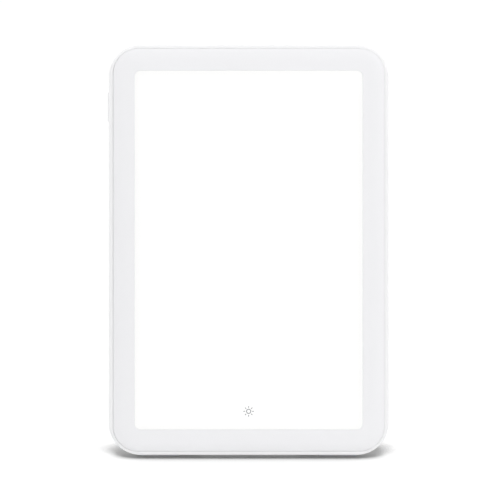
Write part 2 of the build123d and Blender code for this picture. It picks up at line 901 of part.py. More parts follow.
def standing(pieces):
    """Leans every piece back, stands it on z = 0 and centres the lamp's box on the origin."""
    leaned = {name: Rot(-lean_angle, 0, 0) * shape for name, shape in pieces.items()}
    box = Compound(list(leaned.values())).bounding_box()
    shift = Pos(-(box.min.X + box.max.X) / 2, -(box.min.Y + box.max.Y) / 2, floor_drop)
    return {name: shift * shape for name, shape in leaned.items()}


lamp = standing(build_lamp())
os.makedirs("parts", exist_ok=True)
for name, shape in lamp.items():
    export_step(shape, os.path.join("parts", name + ".step"))
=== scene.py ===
# %% [markdown]
# A slim light therapy lamp: an opal window lit from within, in a white frame the size of a tablet.
# It leans back on two rubber feet and a hinged leg. The solid model already holds every piece at its
# real size, so this lesson is about looks: what each surface is made of, the fine shapes that a
# solid model leaves out, and the light and the camera.

# %% Load the solid model
import json
import math

import bmesh
import bpy
from mathutils import Matrix, Vector


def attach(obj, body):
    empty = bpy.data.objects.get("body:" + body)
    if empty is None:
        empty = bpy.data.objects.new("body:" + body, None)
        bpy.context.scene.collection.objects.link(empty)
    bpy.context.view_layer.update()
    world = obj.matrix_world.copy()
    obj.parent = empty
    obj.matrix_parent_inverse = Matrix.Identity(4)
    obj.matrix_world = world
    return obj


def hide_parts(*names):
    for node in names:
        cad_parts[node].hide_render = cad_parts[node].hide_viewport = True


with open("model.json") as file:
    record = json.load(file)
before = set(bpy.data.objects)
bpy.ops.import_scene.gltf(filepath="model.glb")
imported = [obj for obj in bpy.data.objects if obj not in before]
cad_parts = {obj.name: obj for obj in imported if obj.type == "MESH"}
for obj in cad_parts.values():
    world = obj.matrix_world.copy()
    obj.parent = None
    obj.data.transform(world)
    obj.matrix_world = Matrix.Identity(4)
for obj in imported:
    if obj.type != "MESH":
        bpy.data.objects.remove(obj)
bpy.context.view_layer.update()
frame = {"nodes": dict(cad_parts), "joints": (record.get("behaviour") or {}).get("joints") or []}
nodes = frame["nodes"]
print("solid pieces:", len(nodes))

# %% [markdown]
# The panel leans back, so its pieces are easier to place along its own axes: x to the right seen
# from the front, y from the face to the back, z up the panel. One matrix takes them to the world.
# It is worked out from the solid model: the face of the bezel is y = 0, the cover's lower edge z = 0.

# %% The panel's own axes
lean = math.radians(12)
upright = Matrix.Rotation(lean, 4, "X")


def extent(node, turn=upright):
    """Lowest and highest corner of a solid piece along turned axes, the panel's if none are given."""
    turned = [turn @ v.co for v in nodes[node].data.vertices]
    return Vector(map(min, zip(*turned))), Vector(map(max, zip(*turned)))


cover_low, cover_high = extent("rear_cover")
bezel_low, bezel_high = extent("front_bezel")
panel_origin = Vector(((cover_low.x + cover_high.x) / 2, bezel_low.y, cover_low.z))
panel_to_world = upright.inverted() @ Matrix.Translation(panel_origin)
panel_width = cover_high.x - cover_low.x
panel_height = cover_high.z - cover_low.z
panel_depth = cover_high.y - bezel_low.y
print("panel, mm:", [round(size * 1000, 2) for size in (panel_width, panel_height, panel_depth)])

# %% [markdown]
# A material here is one Principled shader. What is the same all over the surface is set on the shader
# itself, and what is uneven is linked to a pattern. Colours are written as sRGB hex values, as a
# colour picker shows them, and turned to the linear values that a renderer adds up.

# %% Helpers for materials
mm = 0.001


def linear(hex_colour):
    """Linear RGBA of an sRGB hex value."""
    channels = [int(hex_colour[i:i + 2], 16) / 255 for i in (0, 2, 4)]
    return [c / 12.92 if c <= 0.04045 else ((c + 0.055) / 1.055) ** 2.4 for c in channels] + [1.0]


def add_node(material, kind, sockets=None, **settings):
    """Adds a node. A socket takes a value, or a link where it is given another node's output."""
    tree = material.node_tree
    node = tree.nodes.new(kind)
    for name, value in settings.items():
        setattr(node, name, value)
    for name, value in (sockets or {}).items():
        if isinstance(value, bpy.types.NodeSocket):
            tree.links.new(value, node.inputs[name])
        else:
            node.inputs[name].default_value = value
    return node


def new_material(name, hex_colour, roughness, **sockets):
    """A material whose even values are constants on its shader."""
    material = bpy.data.materials.new(name)
    material.use_nodes = True
    material.diffuse_color = linear(hex_colour)
    shader = material.node_tree.nodes["Principled BSDF"]
    shader.inputs["Base Color"].default_value = linear(hex_colour)
    shader.inputs["Roughness"].default_value = roughness
    for socket, value in sockets.items():
        shader.inputs[socket.replace("_", " ")].default_value = value
    return material


def link(material, output, socket):
    """Links a pattern to a socket of the material's shader."""
    shader = material.node_tree.nodes["Principled BSDF"]
    material.node_tree.links.new(output, shader.inputs[socket])


def place(material, scale=(1, 1, 1), turn=(0, 0, 0)):
    """Coordinates of the piece in metres, turned and stretched for a pattern."""
    coordinates = add_node(material, "ShaderNodeTexCoord")
    mapping = add_node(material, "ShaderNodeMapping", {
        "Vector": coordinates.outputs["Object"], "Rotation": turn, "Scale": scale})
    return mapping.outputs["Vector"]


# %% [markdown]
# Most surfaces are moulded, sawn, etched or brushed, and each of those ways leaves a grain. One
# function gives it: noise of the grain's real size, which roughens the gloss and, with a bump of the
# grain's real depth, breaks up the highlights. A second, far larger noise dulls and shines the
# surface in soft patches, as handling and the flow of the plastic do. Noise seldom leaves the middle
# of its range, so that middle is stretched to the full spread of the roughness.
#
# Moulded and stamped pieces also have no razor-sharp edges. A Bevel node bends the shading normal
# near each edge, so the solid pieces catch a thin highlight there without a change of their shape.

# %% Grain and soft edges
patch_size = 35 * mm
patch_share = 0.4
noise_low = 0.3
noise_high = 0.7


def finish(material, grain, depth, uneven=0.06, edge=0.25 * mm, stretch=(1, 1, 1)):
    """Grain of a size and depth in metres, soft patches of gloss, and rounded edges."""
    shader = material.node_tree.nodes["Principled BSDF"]
    roughness = shader.inputs["Roughness"].default_value
    where = place(material, stretch)
    fine = add_node(material, "ShaderNodeTexNoise", {"Vector": where, "Scale": 1 / grain, "Detail": 2.0})
    patches = add_node(material, "ShaderNodeTexNoise", {"Vector": where, "Scale": 1 / patch_size})
    both = add_node(material, "ShaderNodeMix", {
        "Factor": patch_share, "A": fine.outputs["Fac"], "B": patches.outputs["Fac"]}, data_type="FLOAT")
    gloss = add_node(material, "ShaderNodeMapRange", {
        "Value": both.outputs["Result"], "From Min": noise_low, "From Max": noise_high,
        "To Min": roughness - uneven, "To Max": roughness + uneven})
    link(material, gloss.outputs["Result"], "Roughness")
    soft = add_node(material, "ShaderNodeBevel", {"Radius": edge}, samples=4)
    bump = add_node(material, "ShaderNodeBump", {
        "Height": fine.outputs["Fac"], "Distance": depth, "Normal": soft.outputs["Normal"]})
    link(material, bump.outputs["Normal"], "Normal")
    return material


# %% [markdown]
# The frame, the cover and the leg are injection-moulded ABS: white, opaque, with an IOR of 1.54. The
# mould of the bezel was finely blasted, which gives an even satin. The mould of the cover and the leg
# was spark-eroded to a coarser grain, about a third of a millimetre, which hides fingerprints and
# scratches where hands hold the lamp. The button's cap was polished before it was blasted, so it is
# the smoothest of the three.

# %% White plastics
abs_ior = 1.54
satin_abs = finish(new_material("satin_abs", "F0F0F2", 0.4, IOR=abs_ior),
                   0.22 * mm, 0.003 * mm, uneven=0.04)
grained_abs = finish(new_material("grained_abs", "F2F2F3", 0.38, IOR=abs_ior),
                     0.35 * mm, 0.025 * mm, edge=0.4 * mm)
smooth_abs = finish(new_material("smooth_abs", "F0F0F1", 0.26, IOR=abs_ior), 0.18 * mm, 0.002 * mm)
print("white plastics:", satin_abs.name, grained_abs.name, smooth_abs.name)

# %% [markdown]
# The window is opal acrylic, lit from behind by the light guide. Its own colour hardly shows while
# the lamp is on: what the eye gets is an even white glow, a touch weaker along the edges, where the
# guide gives out less light. The glow follows the distance to the nearest edge. That distance is
# worked out along the panel's axes, so the coordinates are turned upright first.

# %% Lit window
window_low, window_high = extent("diffuser_panel")
window_middle = (window_low + window_high) / 2
window_half = (window_high - window_low) / 2
edge_reach = 11 * mm
window_glow = 0.60
edge_share = 0.93
lit_acrylic = new_material("lit_opal_acrylic", "AAAAA9", 0.3, IOR=1.49, Emission_Color=linear("FFFFFF"))
upright_place = place(lit_acrylic, turn=(lean, 0, 0))
axes = add_node(lit_acrylic, "ShaderNodeSeparateXYZ", {"Vector": upright_place})


def inside(material, coordinate, centre, half):
    """How far a coordinate lies inside a band, in metres."""
    offset = add_node(material, "ShaderNodeMath", {0: coordinate, 1: centre}, operation="SUBTRACT")
    away = add_node(material, "ShaderNodeMath", {0: offset.outputs[0]}, operation="ABSOLUTE")
    left_over = add_node(material, "ShaderNodeMath", {0: half, 1: away.outputs[0]}, operation="SUBTRACT")
    return left_over.outputs[0]


across = inside(lit_acrylic, axes.outputs["X"], window_middle.x, window_half.x)
along = inside(lit_acrylic, axes.outputs["Z"], window_middle.z, window_half.z)
nearest = add_node(lit_acrylic, "ShaderNodeMath", {0: across, 1: along}, operation="MINIMUM")
glow = add_node(lit_acrylic, "ShaderNodeMapRange", {
    "Value": nearest.outputs[0], "From Min": 0.0, "From Max": edge_reach,
    "To Min": window_glow * edge_share, "To Max": window_glow}, interpolation_type="SMOOTHSTEP")
link(lit_acrylic, glow.outputs["Result"], "Emission Strength")
print("window glow, edge and middle:", round(window_glow * edge_share, 3), window_glow)

# %% [markdown]
# Behind the window lies the light stack. The film spreads the light with a frosted face. The guide is
# clear acrylic whose back carries rows of fine white dots, which let light out; here they are drawn
# 1.5 mm apart, as coarse as they need to show. The reflector is a white foamed film.

# %% Light stack
dot_pitch = 1.5 * mm
dot_share = 0.3
dot_fade = 0.05
dot_roughness = 0.7
clear_roughness = 0.06
frosted_film = finish(new_material("frosted_film", "F4F6F8", 0.55, IOR=1.57, Transmission_Weight=0.35),
                      0.08 * mm, 0.002 * mm, edge=0.05 * mm)
dotted_acrylic = new_material("dotted_acrylic", "FFFFFF", clear_roughness, IOR=1.49,
                              Transmission_Weight=0.9)
dots = add_node(dotted_acrylic, "ShaderNodeTexVoronoi", {
    "Vector": place(dotted_acrylic), "Scale": 1 / dot_pitch, "Randomness": 0.0}, feature="F1")
dot_or_clear = add_node(dotted_acrylic, "ShaderNodeMapRange", {
    "Value": dots.outputs["Distance"], "From Min": dot_share - dot_fade, "From Max": dot_share,
    "To Min": dot_roughness, "To Max": clear_roughness})
link(dotted_acrylic, dot_or_clear.outputs["Result"], "Roughness")
foamed_film = finish(new_material("foamed_film", "FAFAFA", 0.7), 0.1 * mm, 0.003 * mm, edge=0.05 * mm)
print("dots on the light guide, mm across:", round(2 * dot_share * dot_pitch / mm, 2))

# %% [markdown]
# The metals. The tray that spreads the heat is rolled aluminium sheet, so its grain is drawn out
# along the rolls. The screws are zinc-plated steel with a bluish cast; turning leaves fine rings that
# are drawn here as plain grain, because a head is 5 mm wide. The hinge pins are ground bright. A metal
# keeps the default IOR, and its colour is that of its reflection.

# %% Metals
rolled_aluminium = finish(new_material("rolled_aluminium", "C9CBCD", 0.34, Metallic=1.0),
                          0.3 * mm, 0.004 * mm, stretch=(1, 0.06, 0.06))
zinc_plated_steel = finish(new_material("zinc_plated_steel", "BFC4CA", 0.28, Metallic=1.0),
                           0.2 * mm, 0.006 * mm, edge=0.12 * mm)
ground_steel = finish(new_material("ground_steel", "C4C4C6", 0.2, Metallic=1.0),
                      0.15 * mm, 0.002 * mm, edge=0.1 * mm, stretch=(12, 1, 1))
nickel_plate = finish(new_material("nickel_plate", "CBC6BC", 0.22, Metallic=1.0),
                      0.2 * mm, 0.002 * mm, edge=0.1 * mm)
etched_aluminium = finish(new_material("etched_aluminium", "C6C8CA", 0.4, Metallic=1.0),
                          0.12 * mm, 0.003 * mm, edge=0.3 * mm)

# %% [markdown]
# The boards are glass-fibre laminate under solder mask: glossy green on the driver board, where the
# copper tracks shine through as a lighter green, and white on the boards of the diodes. Cells of
# square Voronoi noise make a believable net of tracks about 2 mm apart.

# %% Boards
track_pitch = 2.2 * mm
track_share = 0.42
solder_mask = new_material("green_solder_mask", "1D6B3C", 0.22, IOR=1.5, Coat_Weight=0.6)
cells = add_node(solder_mask, "ShaderNodeTexVoronoi", {
    "Vector": place(solder_mask, turn=(lean, 0, 0)), "Scale": 1 / track_pitch, "Randomness": 0.75},
    feature="F1", distance="CHEBYCHEV")
tracks = add_node(solder_mask, "ShaderNodeValToRGB", {"Fac": cells.outputs["Distance"]})
tracks.color_ramp.interpolation = "CONSTANT"
tracks.color_ramp.elements[0].color = linear("175A31")
tracks.color_ramp.elements[1].position = track_share
tracks.color_ramp.elements[1].color = linear("2A8450")
link(solder_mask, tracks.outputs["Color"], "Base Color")
white_mask = finish(new_material("white_solder_mask", "F1F2EE", 0.3), 0.2 * mm, 0.002 * mm, edge=0.1 * mm)

# %% [markdown]
# The small parts: black epoxy mouldings with a fine blasted face, pressed ferrite, natural nylon
# sockets, acetal washers, fish paper under the driver board, PVC round the wires, and the white
# frames and yellow phosphor of the diodes, which glow while the lamp is on.

# %% Small parts
black_epoxy = finish(new_material("black_epoxy", "1C1D1F", 0.48), 0.12 * mm, 0.006 * mm, edge=0.15 * mm)
pressed_ferrite = finish(new_material("pressed_ferrite", "3A3B3D", 0.62),
                         0.25 * mm, 0.02 * mm, edge=0.4 * mm)
natural_nylon = finish(new_material("natural_nylon", "EFE8D6", 0.4, Subsurface_Weight=0.15,
                                    Subsurface_Scale=mm), 0.2 * mm, 0.004 * mm, edge=0.15 * mm)
acetal = finish(new_material("acetal", "F2F0E8", 0.3), 0.2 * mm, 0.003 * mm, edge=0.1 * mm)
fish_paper = finish(new_material("fish_paper", "8D8373", 0.75), 0.4 * mm, 0.02 * mm, edge=0.1 * mm)
white_pvc = finish(new_material("white_pvc", "ECECEA", 0.35), 0.15 * mm, 0.003 * mm)
black_pvc = finish(new_material("black_pvc", "1A1A1B", 0.35), 0.15 * mm, 0.003 * mm)
diode_frame = finish(new_material("diode_frame", "F6F5F0", 0.35), 0.1 * mm, 0.002 * mm, edge=0.1 * mm)
phosphor = finish(new_material("phosphor", "F3DC6A", 0.3, Emission_Color=linear("FFF6DC"),
                               Emission_Strength=0.9), 0.1 * mm, 0.004 * mm, edge=0.1 * mm)

# %% [markdown]
# The feet and the leg's pad are light grey silicone rubber, pressed in a plain mould: matt, with a
# fine pebbled face, and slightly translucent at thin edges.

# %% Rubber and ink
silicone = finish(new_material("silicone_rubber", "BDBFC2", 0.72, IOR=1.41, Subsurface_Weight=0.1,
                               Subsurface_Scale=mm), 0.3 * mm, 0.02 * mm, edge=0.3 * mm)
grey_ink = finish(new_material("grey_ink", "8E9194", 0.5), 0.15 * mm, 0.002 * mm, edge=0.02 * mm)

# %% [markdown]
# Each solid piece shows its material through its slot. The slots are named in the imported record, so
# one table from slot to material covers all of them.

# %% Dress the solid pieces
materials = {
    "housing_white": satin_abs, "cover_white": grained_abs, "button_white": smooth_abs,
    "opal_acrylic": lit_acrylic, "optical_film": frosted_film, "clear_acrylic": dotted_acrylic,
    "reflector_film": foamed_film, "aluminium_sheet": rolled_aluminium, "bar_board": white_mask,
    "led_package": diode_frame, "screw_steel": zinc_plated_steel, "pin_steel": ground_steel,
    "grey_rubber": silicone, "green_board": solder_mask, "insulator_film": fish_paper,
    "black_component": black_epoxy, "ferrite_grey": pressed_ferrite, "can_aluminium": etched_aluminium,
    "socket_nylon": natural_nylon, "contact_metal": nickel_plate, "washer_acetal": acetal,
    "wire_white": white_pvc, "wire_black": black_pvc,
}
for node in nodes.values():
    node.material_slots[0].material = materials[node.material_slots[0].name]
print("finishes in use:", len(materials))

# %% [markdown]
# New pieces are drawn as flat outlines with rounded corners, which are then skinned from one to the
# next, as a boat's hull is skinned over its frames. An outline starts as a single square face whose
# four corners are bevelled, so every corner is a true arc. Where two neighbouring outlines run
# parallel, bridging them gives clean four-sided faces. Where they don't and lie in one plane, the
# ring between them is filled with triangles, which a flat face doesn't show.

# %% Helpers for meshes
quarter = math.pi / 2
sharp_angle = math.radians(30)
looks = {
    "front": Matrix.Rotation(quarter, 4, "X"),
    "back": Matrix.Rotation(-quarter, 4, "X"),
    "left": Matrix.Rotation(-quarter, 4, "Y"),
    "right": Matrix.Rotation(quarter, 4, "Y"),
    "up": Matrix.Identity(4),
}


def at(x, y, z, look="front"):
    """Drawing plane at a point of the panel, whose third axis looks out of the named side."""
    return Matrix.Translation((x, y, z)) @ looks[look]


def raised(plane, height):
    """The same plane, moved along its third axis."""
    return plane @ Matrix.Translation((0, 0, height))


def outline(bm, width, height, corner, plane, segments=10):
    """A flat face with rounded corners, in the middle of the plane."""
    corners = bmesh.ops.create_grid(bm, x_segments=1, y_segments=1, size=0.5)["verts"]
    bmesh.ops.scale(bm, vec=(width, height, 1), verts=corners)
    rounded = bmesh.ops.bevel(bm, geom=corners, offset=corner, offset_type="OFFSET", segments=segments,
                              profile=0.5, affect="VERTICES", material=-1)
    face = rounded["verts"][0].link_faces[0]
    bmesh.ops.transform(bm, matrix=plane, verts=face.verts)
    return face


def disc(bm, radius, plane, segments=32):
    """A round flat face in the middle of the plane."""
    circle = bmesh.ops.create_circle(bm, cap_ends=True, segments=segments, radius=radius, matrix=plane)
    return circle["verts"][0].link_faces[0]


def skin(bm, faces, closed=False, rings=()):
    """Skins neighbouring outlines. rings names the pairs, by their first outline, that aren't parallel."""
    followers = faces[1:] + (faces[:1] if closed else [])
    for number, (first, second) in enumerate(zip(faces, followers)):
        edges = list(first.edges) + list(second.edges)
        if number in rings:
            bmesh.ops.triangle_fill(bm, edges=edges, use_beauty=True)
        else:
            bmesh.ops.bridge_loops(bm, edges=edges)
    bmesh.ops.delete(bm, geom=faces if closed else faces[1:-1], context="FACES_ONLY")


def rounded_edge(radius, steps=4):
    """Inset and drop of the points along a quarter circle, from the top face to the side."""
    angles = [quarter * step / steps for step in range(steps + 1)]
    return [(radius * (1 - math.sin(a)), radius * (1 - math.cos(a))) for a in angles]


def mesh_of(bm, name):
    """Keeps a drawn mesh, with its faces turned outwards."""
    bmesh.ops.recalc_face_normals(bm, faces=bm.faces)
    mesh = bpy.data.meshes.new(name)
    bm.to_mesh(mesh)
    bm.free()
    return mesh


def new_piece(name, bm, material, body, frame_of_piece=panel_to_world):
    """Turns a drawn mesh into an object in the world that moves with a body of the solid model."""
    bmesh.ops.transform(bm, matrix=frame_of_piece, verts=bm.verts)
    mesh = mesh_of(bm, name)
    mesh.shade_smooth()
    mesh.set_sharp_from_angle(angle=sharp_angle)
    mesh.materials.append(material)
    piece = bpy.data.objects.new(name, mesh)
    bpy.context.scene.collection.objects.link(piece)
    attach(piece, body)
    print(name, "faces:", len(mesh.polygons))
    return piece


# %% [markdown]
# The bezel is the frame round the window: a flat plate whose outer 12 mm roll back by a good
# millimetre towards the seam, with a skirt behind. The roll is what gives the frame its soft
# shading, so it gets fourteen outlines along a power curve, which leaves the flat without a kink and
# steepens towards the seam. Small radii round the edge at the seam and the edge at the window. The
# frame sits in the cover with a little play, up and to the right, so the seam shows mainly on the
# left and below.

# %% Bezel
bezel_width = bezel_high.x - bezel_low.x
bezel_height = bezel_high.z - bezel_low.z
bezel_corner = 15.4 * mm
middle = panel_height / 2
crown_width = 12 * mm
crown_drop = 1.35 * mm
crown_power = 3.4
crown_steps = 14
seam_radius = 0.06 * mm
seam_closing = 0.06 * mm
play_right = 0.055 * mm
play_up = 0.04 * mm
plate_thickness = 1.8 * mm
skirt_thickness = 1.5 * mm
skirt_end = 4.8 * mm
diffuser_lip = 2.3 * mm
window_gap = 0.08 * mm
window_corner = 3.6 * mm
window_radius = 0.18 * mm
window_width = window_high.x - window_low.x - 2 * diffuser_lip
window_height = window_high.z - window_low.z - 2 * diffuser_lip


def bezel_outline(bm, inset, depth):
    """Outline of the frame, moved in from its edge."""
    inwards = inset - seam_closing
    return outline(bm, bezel_width - 2 * inwards, bezel_height - 2 * inwards, bezel_corner - inwards,
                   at(play_right, depth, middle + play_up), segments=20)


def window_outline(bm, grown, depth):
    """Outline of the window's face, grown by a distance."""
    return outline(bm, window_width + 2 * grown, window_height + 2 * grown, window_corner + grown,
                   at(0, depth, middle), segments=20)


def crown(inset):
    """Depth of the rolled edge at a distance from the seam."""
    return crown_drop * max(0, 1 - inset / crown_width) ** crown_power


bezel = bmesh.new()
faces = [bezel_outline(bezel, inset, crown(seam_radius) + drop)
         for inset, drop in reversed(rounded_edge(seam_radius))]
for step in range(1, crown_steps + 1):
    inset = seam_radius + (crown_width - seam_radius) * step / crown_steps
    faces.append(bezel_outline(bezel, inset, crown(inset)))
front_ring = len(faces) - 1
for inset, drop in rounded_edge(window_radius):
    faces.append(window_outline(bezel, window_gap + inset, drop))
faces.append(window_outline(bezel, window_gap, plate_thickness))
back_ring = len(faces) - 1
faces.append(bezel_outline(bezel, skirt_thickness, plate_thickness))
faces.append(bezel_outline(bezel, skirt_thickness, skirt_end))
faces.append(bezel_outline(bezel, 0, skirt_end))
skin(bezel, faces, closed=True, rings=(front_ring, back_ring))

# %% [markdown]
# Hollow posts are moulded to the back of the frame: six for the cover's screws, and four short ones
# for the screws of the heat spreader. A post could be a tube cut from a rod, but it has only four
# circles, two outside and two inside, so it is skinned in a closed loop as the frame itself is.

# %% Posts behind the bezel
corner_inset = 9.9 * mm
side_inset = 6.2 * mm
ear_offset = 40 * mm
ear_inset = 8.2 * mm
post_radius = 3.1 * mm
post_hole = 1.3 * mm
ear_radius = 2.45 * mm
ear_hole = 1.0 * mm
ear_end = 5.6 * mm
half_width = panel_width / 2
cover_screw_places = [(side * (half_width - corner_inset), end) for side in (-1, 1)
                      for end in (corner_inset, panel_height - corner_inset)]
cover_screw_places += [(side * (half_width - side_inset), middle) for side in (-1, 1)]
ear_places = [(side * ear_offset, end) for side in (-1, 1)
              for end in (ear_inset, panel_height - ear_inset)]


def post(bm, x, z, radius, hole, start, end):
    """Hollow post, open at both ends."""
    rounds = [(radius, start), (radius, end), (hole, end), (hole, start)]
    skin(bm, [disc(bm, r, at(x, depth, z, "back")) for r, depth in rounds], closed=True)


for x, z in cover_screw_places:
    post(bezel, x, z, post_radius, post_hole, plate_thickness, bezel_high.y - bezel_low.y)
for x, z in ear_places:
    post(bezel, x, z, ear_radius, ear_hole, plate_thickness, ear_end)
bezel_frame = new_piece("bezel_frame", bezel, satin_abs, "housing")
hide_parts("front_bezel")
print("posts:", len(cover_screw_places), "for the cover and", len(ear_places), "for the heat spreader")

# %% [markdown]
# The window is one sheet: a raised face flush with the bezel, and a thin flange behind it that the
# bezel holds down. Its sawn and flame-polished edge is a little round, so the join with the bezel
# shows as a soft line instead of a crack.

# %% Window
flange_end = 2.6 * mm
flange_corner = 2 * mm
face_radius = 0.12 * mm


def flange_outline(bm, depth):
    """Outline of the flange behind the window's face."""
    return outline(bm, window_width + 2 * diffuser_lip, window_height + 2 * diffuser_lip, flange_corner,
                   at(0, depth, middle), segments=20)


window = bmesh.new()
faces = [window_outline(window, -inset, drop) for inset, drop in rounded_edge(face_radius)]
faces.append(window_outline(window, 0, plate_thickness))
flange_ring = len(faces) - 1
faces += [flange_outline(window, plate_thickness), flange_outline(window, flange_end)]
skin(window, faces, rings=(flange_ring,))
lit_window = new_piece("lit_window", window, lit_acrylic, "housing")
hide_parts("diffuser_panel")

# %% [markdown]
# Low on the window sits a small printed mark in grey: a plain sun, the common sign for light. Screen
# ink lies on the acrylic as a film of a few hundredths of a millimetre, so the mark is a thin ring
# and eight thin bars. One ray is drawn and turned round the middle in a loop.

# %% Printed sun
mark_height = 27 * mm
ink_film = 0.03 * mm
sun_outer = 1.55 * mm
sun_inner = 1.05 * mm
ray_start = 2.15 * mm
ray_length = 1.15 * mm
ray_width = 0.5 * mm
ray_count = 8
stroke_end = 0.45


def slab(bm, width, height, corner, plane, thickness, segments=4):
    """Thin plate with rounded corners that stands on the plane."""
    skin(bm, [outline(bm, width, height, corner, raised(plane, level), segments)
              for level in (0, thickness)])


def ring(bm, outer, inner, plane, thickness):
    """Flat ring that stands on the plane."""
    rounds = [(outer, 0), (outer, thickness), (inner, thickness), (inner, 0)]
    faces = [disc(bm, radius, raised(plane, level), segments=48) for radius, level in rounds]
    skin(bm, faces, closed=True)


sun = bmesh.new()
sun_plane = at(0, 0, mark_height)
ring(sun, sun_outer, sun_inner, sun_plane, ink_film)
for number in range(ray_count):
    around = Matrix.Rotation(2 * math.pi * number / ray_count, 4, "Z")
    ray_plane = sun_plane @ around @ Matrix.Translation((0, ray_start + ray_length / 2, 0))
    slab(sun, ray_width, ray_length, stroke_end * ray_width, ray_plane, ink_film)
new_piece("printed_sun", sun, grey_ink, "housing")

# %% [markdown]
# The power button is a round-ended cap in the left side. A fingertip finds it by its soft edge and
# its shallow dish. The dish could be pressed in with a displacement, but outlines that sink along a
# cosine to a flat floor keep the mesh light and the rim round. A flange behind the cap holds it in
# the cover's side, and a nib on the flange pushes the switch.

# %% Power button
button_low, button_high = extent("power_button")
cap_overlap = 0.8 * mm
flange_thickness = 1.1 * mm
nib_length = 1.5 * mm
nib_radius = 1.5 * mm
cap_radius = 0.55 * mm
dish_depth = 0.14 * mm
dish_run = 0.6 * mm
dish_steps = 6
round_end = 0.499
button_x = (button_low.x - panel_origin.x, button_high.x - panel_origin.x)
button_depth = (button_low.y + button_high.y) / 2 - panel_origin.y
button_z = (button_low.z + button_high.z) / 2 - panel_origin.z
flange_length = button_high.z - button_low.z
flange_width = button_high.y - button_low.y
nib_end = button_x[1]
flange_back = nib_end - nib_length
flange_front = flange_back - flange_thickness


def cap_outline(bm, inset, x):
    """Round-ended outline across the button, at a place along its travel."""
    width = flange_width - 2 * inset
    plane = at(x, button_depth, button_z, "left")
    return outline(bm, flange_length - 2 * inset, width, round_end * width, plane, segments=14)


cap = bmesh.new()
faces = [cap_outline(cap, inset, x)
         for inset, x in ((0, flange_back), (0, flange_front), (cap_overlap, flange_front))]
for inset, drop in reversed(rounded_edge(cap_radius)):
    faces.append(cap_outline(cap, cap_overlap + inset, button_x[0] + drop))
for step in range(1, dish_steps + 1):
    share = step / dish_steps
    sunk = dish_depth * (1 - math.cos(math.pi * share)) / 2
    faces.append(cap_outline(cap, cap_overlap + cap_radius + dish_run * share, button_x[0] + sunk))
skin(cap, faces)
nib_plane = at(nib_end, button_depth, button_z, "left")
nib_root = nib_length + flange_thickness / 2
skin(cap, [disc(cap, nib_radius, raised(nib_plane, level), segments=24) for level in (0, nib_root)])
button_cap = new_piece("button_cap", cap, smooth_abs, "power_button")
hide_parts("power_button")

# %% [markdown]
# On the floor of the dish the sign for power is printed: an open ring, with a bar through the gap. A
# curve with a bevel would give the ring too, but a small square spun through most of a turn is a
# clean band of four-sided faces at once.

# %% Power sign
sign_radius = 1.0 * mm
stroke = 0.24 * mm
sign_gap = math.radians(70)
bar_length = 1.1 * mm


def open_ring(bm, radius, width, gap, plane, thickness):
    """Ring with a gap at the top, spun from a small square."""
    start = Matrix.Rotation(gap / 2, 4, "Z") @ Matrix.Translation((0, radius, thickness / 2))
    profile = bmesh.ops.create_grid(bm, x_segments=1, y_segments=1, size=0.5)["verts"]
    bmesh.ops.scale(bm, vec=(thickness, width, 1), verts=profile)
    bmesh.ops.transform(bm, matrix=plane @ start @ Matrix.Rotation(quarter, 4, "Y"), verts=profile)
    axis = plane.to_3x3() @ Vector((0, 0, 1))
    bmesh.ops.spin(bm, geom=list(profile[0].link_faces) + list(profile[0].link_faces[0].edges) + profile,
                   cent=plane.translation, axis=axis, angle=2 * math.pi - gap, steps=28)


sign = bmesh.new()
turned_up = Matrix.Rotation(-quarter, 4, "Z")
sign_plane = at(button_x[0] + dish_depth, button_depth, button_z, "left") @ turned_up
open_ring(sign, sign_radius, stroke, sign_gap, sign_plane, ink_film)
bar_plane = sign_plane @ Matrix.Translation((0, sign_radius, 0))
slab(sign, stroke, bar_length, stroke_end * stroke, bar_plane, ink_film)
new_piece("power_sign", sign, grey_ink, "power_button")

# %% [markdown]
# The lamp stands on two rubber feet let into its lower edge, and leans on the rubber shoe of the leg.
# Both are drawn a little too long and cut off by the table, so they stand flat on it whatever the
# angle of the panel or the leg. The cut edge then gets a small radius, as worn rubber has.

# %% Feet
foot_corner = 1.3 * mm
foot_spare = 1 * mm
worn_radius = 0.35 * mm


def cut_by_table(bm, to_world):
    """Cuts a mesh off at the level of the table and rounds the cut edge."""
    to_piece = to_world.inverted()
    down = to_piece.to_3x3() @ Vector((0, 0, -1))
    everything = bm.verts[:] + bm.edges[:] + bm.faces[:]
    cut = bmesh.ops.bisect_plane(bm, geom=everything, plane_co=to_piece.translation, plane_no=down,
                                 clear_outer=True)
    rim = [part for part in cut["geom_cut"] if isinstance(part, bmesh.types.BMEdge)]
    bmesh.ops.holes_fill(bm, edges=rim)
    bmesh.ops.bevel(bm, geom=rim, offset=worn_radius, offset_type="OFFSET", segments=3, profile=0.5,
                    affect="EDGES", material=-1)


for side in ("left", "right"):
    low, high = extent("base_foot_" + side)
    centre = (low + high) / 2 - panel_origin
    size = high - low
    foot = bmesh.new()
    levels = (high.z - panel_origin.z, low.z - panel_origin.z - foot_spare)
    skin(foot, [outline(foot, size.x, size.y, foot_corner, at(centre.x, centre.y, level, "up"))
                for level in levels])
    cut_by_table(foot, panel_to_world)
    rubber_foot = new_piece("rubber_foot_" + side, foot, silicone, "housing")
    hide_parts("base_foot_" + side)

# %% [markdown]
# The shoe is pushed over a tongue at the end of the leg. It is drawn in the leg's own axes, which
# start at the hinge: the hinge's place comes from the solid model's joint, and the open leg stands
# 10 degrees from the vertical.

